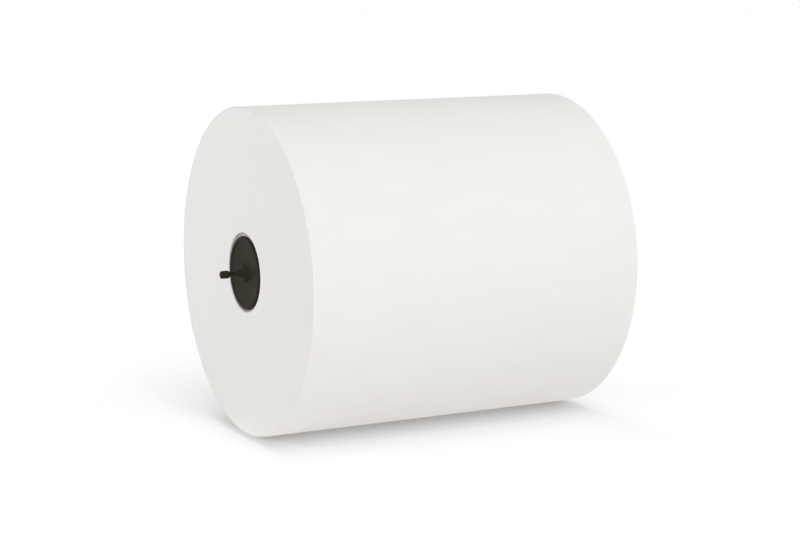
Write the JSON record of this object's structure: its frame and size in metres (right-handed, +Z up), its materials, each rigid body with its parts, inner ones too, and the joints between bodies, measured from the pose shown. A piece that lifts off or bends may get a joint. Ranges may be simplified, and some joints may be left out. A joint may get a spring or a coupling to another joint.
{
  "type": "paper towel roll",
  "caption": "Hard-wound roll of white paper hand towel on a board core, with a pinned moulded plug at each end.",
  "frame": {"origin": "on the surface that the roll lies on, under the middle of its axis", "axes": "+X along the roll's axis towards the right-hand plug, +Z up, +Y towards the back where the tail ends"},
  "size_m": [0.2392, 0.1931, 0.1925],
  "materials": {
    "towel_paper": "matt, soft",
    "core_board": "matt",
    "plug_plastic": "satin moulded"
  },
  "bodies": {
    "root": {"paper_roll": "towel_paper", "core_tube": "core_board", "left_core_plug": "plug_plastic", "right_core_plug": "plug_plastic"}
  },
  "joints": []
}
